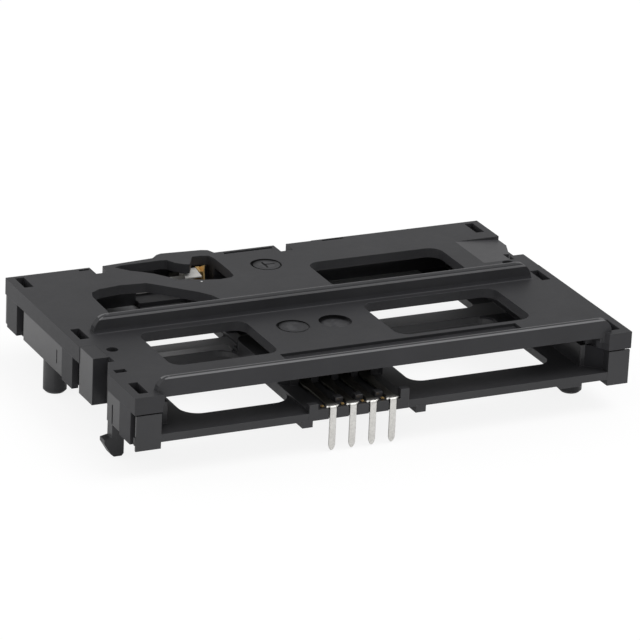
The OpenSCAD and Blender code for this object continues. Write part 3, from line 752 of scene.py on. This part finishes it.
class SOCKET_OT_mouldings(bpy.types.Operator):
    """Finish the base and the cover as black moulded plastic"""

    bl_idname = "socket.mouldings"
    bl_label = "Finish Mouldings"

    def execute(self, context):
        look = context.scene.socket_plastic
        finishes = {
            "base": MouldedPlastic("base_plastic", look, BASE_FINISH).material(),
            "cover": MouldedPlastic("cover_plastic", look, COVER_FINISH).material(),
        }
        for node, material in finishes.items():
            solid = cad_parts[node]
            solid.data.materials.clear()
            solid.data.materials.append(material)
        self.lip(finishes["base"])
        return {"FINISHED"}

    def lip(self, material):
        """Thin lip that closes the slit between the rear wall of the switch pocket and the cover."""
        low = spot(*LIP_LOW)
        high = spot(*LIP_HIGH)
        built = bmesh.new()
        bmesh.ops.create_cube(built, size=1.0)
        for vert in built.verts:
            vert.co = Vector([a + (b - a) * (c + 0.5) for a, b, c in zip(low, high, vert.co)])
        new_object("rear_wall_lip", closed_mesh("rear_wall_lip", built), "housing", material)


class SOCKET_OT_contacts(bpy.types.Operator):
    """Bend the eight sprung contacts from plated strip"""

    bl_idname = "socket.contacts"
    bl_label = "Make Contacts"

    def execute(self, context):
        finish = plated_metal("contact_plating", context.scene.socket_metal, CONTACT_METALLIC)
        for row in ROWS:
            for i in range(CONTACT_COUNT):
                node = row.label % (i + 1)
                mesh = self.contact(node + "_strip", CONTACT_FIRST + i * PITCH, row)
                piece = new_object(node + "_strip", mesh, node, finish)
                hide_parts(node)
        return {"FINISHED"}

    def contact(self, name, middle, row):
        """The mesh of one contact, its middle at a place along the row."""

        def place(side, out, height):
            return spot(middle + row.way * side, row.tail_y + row.way * out, height)

        def sideways(out, side, height):
            return place(side, EAR_OUT + out, height)

        seat = SEAT_Z + STRIP_T / 2
        built = bmesh.new()
        path, sections = self.outline(row, seat)
        add_strip(built, path, sections, STRIP_T, place)
        tab = rounded_path([(out, seat + rise) for out, rise in TAB_OUTLINE], [TAB_BEND])
        inner, outer = sorted(side * row.tab_side for side in TAB_SIDES)
        add_strip(built, tab, [(inner, outer, TAB_THIN)] * len(tab), STRIP_T, place, GOLD, TAB_EDGE)
        for ends in EARS:
            low, high = sorted(end * row.tab_side for end in ends)
            steps = len(EAR_SECTIONS) - 1
            ear = [Vector((low + (high - low) * k / steps, seat + EAR_RISE)) for k in range(steps + 1)]
            add_strip(built, ear, EAR_SECTIONS, STRIP_T, sideways, TIN, EAR_EDGE)
        return closed_mesh(name, built)

    def outline(self, row, seat):
        """The path of a contact's strip in side view, and its section at each point."""
        pad = PAD_Z - STRIP_T / 2
        points = [(STRIP_T / 2, TAIL_END), (STRIP_T / 2, seat), (row.root, seat)]
        points += [(row.reach + out, pad + rise) for out, rise in NOSE_OUTLINE]
        bent = rounded_path(points, STRIP_BENDS)
        path = [bent[0] + Vector((0, rise)) for rise, half, thin in TAIL_TIP]
        sections = [(-half, half, thin, TIN) for rise, half, thin in TAIL_TIP]
        runs = []
        for a, b in zip(bent, bent[1:]):
            parts = max(1, int((b - a).length / STRIP_STEP))
            runs += [a + (b - a) * (k / parts) for k in range(parts)]
        for point in runs + [bent[-1]]:
            if point.y > TAIL_END + TIP_HEIGHT:
                half = self.half_width(point.x, row)
                path.append(point)
                sections.append((-half, half, 1.0, self.plating(point.x, row)))
        return path, sections

    def half_width(self, out, row):
        """Half the strip's width at a distance out from the tail."""
        if out > row.reach - NOSE_LENGTH:
            return NOSE_W / 2
        taper_start = row.reach - NOSE_LENGTH - TAPER_LENGTH
        if out > taper_start:
            return (BEAM_W + (NOSE_W - BEAM_W) * (out - taper_start) / TAPER_LENGTH) / 2
        if out > row.root - BEAM_LEAD:
            return BEAM_W / 2
        if out > NECK_START:
            return NECK_W / 2
        if out > SHOULDER_START:
            return SHOULDER_W / 2
        return TAIL_W / 2

    def plating(self, out, row):
        """The plating at a distance out from the tail."""
        if out > row.reach - GOLD_LENGTH:
            return GOLD
        # Beams take the nickel tone, darkened as painted shade
        return SHADED_NICKEL if out > TIN_LENGTH else TIN


class SOCKET_OT_card_switch(bpy.types.Operator):
    """Bend the card switch's silver blade and its gold terminal from thin sheet"""

    bl_idname = "socket.card_switch"
    bl_label = "Make Card Switch"

    def execute(self, context):
        finish = plated_metal("switch_plating", context.scene.socket_metal, SWITCH_METALLIC)
        parts = (
            ("switch_blade", "switch_blade", "switch_blade", self.blade),
            ("switch_terminal", "housing", "contacts", self.terminal),
        )
        for node, body, slot, build in parts:
            built = bmesh.new()
            build(built)
            piece = new_object(node + "_sheet", closed_mesh(node + "_sheet", built), body, finish)
            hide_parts(node)
        return {"FINISHED"}

    def tail(self, built, x, y):
        """The solder tail of a switch part, upright at a place in the plan."""

        def upright(side, out, height):
            return spot(x + side, y + out, height)

        path = [Vector((0, TAIL_END + rise)) for rise, half, thin in SWITCH_TIP]
        sections = [(-half, half, thin) for rise, half, thin in SWITCH_TIP]
        path.append(Vector((0, SWITCH_LOW + TAIL_OVERLAP)))
        sections.append(sections[-1])
        add_strip(built, path, sections, SWITCH_T, upright)

    def band(self, built, stations, y, plating):
        """An upright band along the rear of the socket, through stations along its length."""

        def upright(height, x, y):
            return spot(x, y, height)

        run = [Vector((x, y)) for x in stations]
        add_strip(built, run, [(SWITCH_LOW, SWITCH_HIGH, 1.0)] * len(run), SWITCH_T, upright, plating)

    def blade(self, built):
        """The silver blade: tail, band and the curled tab that the card pushes back."""
        self.tail(built, BLADE_TAIL_X, BLADE_Y)
        start = BLADE_TAIL_X - TAIL_W / 2
        length = SILVER_RIGHT - start
        self.band(built, [start + i * length / BLADE_STEPS for i in range(BLADE_STEPS + 1)], BLADE_Y, TIN)
        rows = []
        for y, z in rounded_path(SILVER_PROFILE, SILVER_BENDS):
            ahead = (BLADE_Y - y) / SILVER_LENGTH
            left = SILVER_LEFT + SILVER_SWELL * ahead - SILVER_TAPER * ahead * ahead
            row = []
            for i in range(SILVER_STEPS + 1):
                x = left + (SILVER_RIGHT - left) * i / SILVER_STEPS
                lift = SILVER_LIFT * share(x, *SILVER_LIFT_X) * share(y, *SILVER_LIFT_Y)
                row.append(spot(x, y, z + lift))
            rows.append(row)
        add_sheet(built, rows, SILVER_T, TIN)

    def terminal(self, built):
        """The gold terminal: tail, band, the bowed sheet that stands up from it and its small flap."""
        self.tail(built, SHEET_TAIL_X, SHEET_Y)
        # The band takes the darkened nickel tone as painted shade
        self.band(built, SHEET_BAND, SHEET_Y, SHADED_NICKEL)
        rows = []
        corners = [(Vector(front), Vector(rear)) for front, rear in zip(SHEET_FRONT, SHEET_REAR)]
        last = len(corners) - 1
        for k in range(last * SHEET_STEPS + 1):
            height = k / SHEET_STEPS
            step = min(last - 1, int(height))
            a, b = [low.lerp(high, height - step) for low, high in zip(corners[step], corners[step + 1])]
            row = []
            for i in range(SHEET_COLUMNS + 1):
                point = a.lerp(b, i / SHEET_COLUMNS)
                bow = math.sin(math.pi * i / SHEET_COLUMNS) * share(height, 0, 2)
                point.x -= SHEET_BOW * bow
                row.append(spot(*point))
            rows.append(row)
        add_sheet(built, rows, SHEET_T, GOLD)
        flap = []
        for x, rise in FLAP_SIDES:
            stations = [i / FLAP_STEPS for i in range(FLAP_STEPS + 1)]
            flap.append([spot(x, FLAP_Y + FLAP_LENGTH * t, FLAP_Z + rise + FLAP_CLIMB * t) for t in stations])
        add_sheet(built, flap, FLAP_T, GOLD)


class SOCKET_OT_studio(bpy.types.Operator):
    """Set the camera, the pale floor and the soft lamps"""

    bl_idname = "socket.studio"
    bl_label = "Set Studio"

    def execute(self, context):
        scene = context.scene
        stage = scene.socket_stage
        scene.view_settings.view_transform = "Standard"
        self.camera(scene, stage)
        self.floor(scene, stage)
        for name, offset, size, part in LAMPS:
            self.lamp(scene, name, offset, size, stage.lamp_power * part)
        self.air(scene)
        return {"FINISHED"}

    def camera(self, scene, stage):
        """A long lens in front of the socket, to its left and above it."""
        data = bpy.data.cameras.new("studio_camera")
        data.lens = stage.lens
        data.sensor_width = SENSOR_W
        data.clip_start = 0.01
        data.clip_end = 20.0
        camera = bpy.data.objects.new("studio_camera", data)
        scene.collection.objects.link(camera)
        turn, lift, roll = stage.azimuth, stage.elevation, stage.roll
        back = Vector((math.sin(turn) * math.cos(lift), -math.cos(turn) * math.cos(lift), math.sin(lift)))
        level = Vector((math.cos(turn), math.sin(turn), 0))
        right = level * math.cos(roll) + back.cross(level) * math.sin(roll)
        axes = Matrix((right, back.cross(right), back)).transposed().to_4x4()
        camera.matrix_world = Matrix.Translation(Vector(stage.place)) @ axes
        scene.camera = camera

    def floor(self, scene, stage):
        """A pale floor under the tips of the tails, which glows to the camera and keeps a soft shadow."""
        low = SOLIDS_BOX[0].z
        corners = [(x * FLOOR_HALF, y * FLOOR_HALF, low) for x, y in ((-1, -1), (1, -1), (1, 1), (-1, 1))]
        mesh = bpy.data.meshes.new("studio_floor")
        mesh.from_pydata(corners, [], [(0, 1, 2, 3)])
        floor = bpy.data.objects.new("studio_floor", mesh)
        scene.collection.objects.link(floor)
        nodes = Nodes(new_material("floor_paper"))
        seen = nodes.background_rays()
        where = nodes.add("ShaderNodeTexCoord").outputs["Object"]
        darker = rgb([c * PAPER_SHADE for c in stage.floor])
        tone = nodes.blend(nodes.noise(where, PAPER_SCALE), rgb(stage.floor), darker)
        paper = nodes.add("ShaderNodeBsdfDiffuse", None, Color=nodes.blend(seen, tone, FLOOR_TO_CAMERA))
        strength = nodes.ramp(seen, 0.0, 1.0, *FLOOR_GLOW)
        glow = nodes.add("ShaderNodeEmission", None, Color=WHITE, Strength=strength)
        both = nodes.add("ShaderNodeAddShader", None, i0=paper.outputs[0], i1=glow.outputs[0])
        mesh.materials.append(nodes.close(both))

    def lamp(self, scene, name, offset, size, power):
        """A soft round lamp that faces the middle of the socket."""
        data = bpy.data.lights.new(name, "AREA")
        data.shape = "DISK"
        data.size = size
        data.energy = power
        lamp = bpy.data.objects.new(name, data)
        scene.collection.objects.link(lamp)
        lamp.location = (SOLIDS_BOX[0] + SOLIDS_BOX[1]) / 2 + Vector(offset)
        lamp.rotation_euler = (-Vector(offset)).to_track_quat("-Z", "Y").to_euler()

    def air(self, scene):
        """White surroundings, dimmer to the socket than to the camera."""
        scene.world = scene.world or bpy.data.worlds.new("studio_air")
        nodes = Nodes(scene.world)
        strength = nodes.ramp(nodes.background_rays(), 0.0, 1.0, AIR_ON_SOCKET, 1.0)
        back = nodes.add("ShaderNodeBackground", None, Color=WHITE, Strength=strength)
        nodes.close(back, "ShaderNodeOutputWorld")


class SOCKET_PT_sidebar(bpy.types.Panel):
    """The socket's pieces, sizes and colours"""

    bl_idname = "SOCKET_PT_sidebar"
    bl_label = "Smart Card Socket"
    bl_space_type = "VIEW_3D"
    bl_region_type = "UI"
    bl_category = "Card Socket"

    def draw(self, context):
        layout = self.layout
        for name in GROUPS:
            group = getattr(context.scene, name)
            box = layout.box()
            for key in group.__annotations__:
                box.prop(group, key)
        for operator in OPERATORS:
            layout.operator(operator.bl_idname)


OPERATORS = (SOCKET_OT_mouldings, SOCKET_OT_contacts, SOCKET_OT_card_switch, SOCKET_OT_studio)
GROUPS = {"socket_plastic": SocketPlastic, "socket_metal": SocketMetal, "socket_stage": SocketStage}
CLASSES = (*GROUPS.values(), *OPERATORS, SOCKET_PT_sidebar)


def register():
    for kind in CLASSES:
        bpy.utils.register_class(kind)
    for name, kind in GROUPS.items():
        setattr(bpy.types.Scene, name, PointerProperty(type=kind))


def unregister():
    for name in GROUPS:
        delattr(bpy.types.Scene, name)
    for kind in reversed(CLASSES):
        bpy.utils.unregister_class(kind)


def main():
    register()
    bpy.ops.socket.mouldings()
    bpy.ops.socket.contacts()
    bpy.ops.socket.card_switch()
    bpy.ops.socket.studio()


if __name__ == "__main__":
    main()
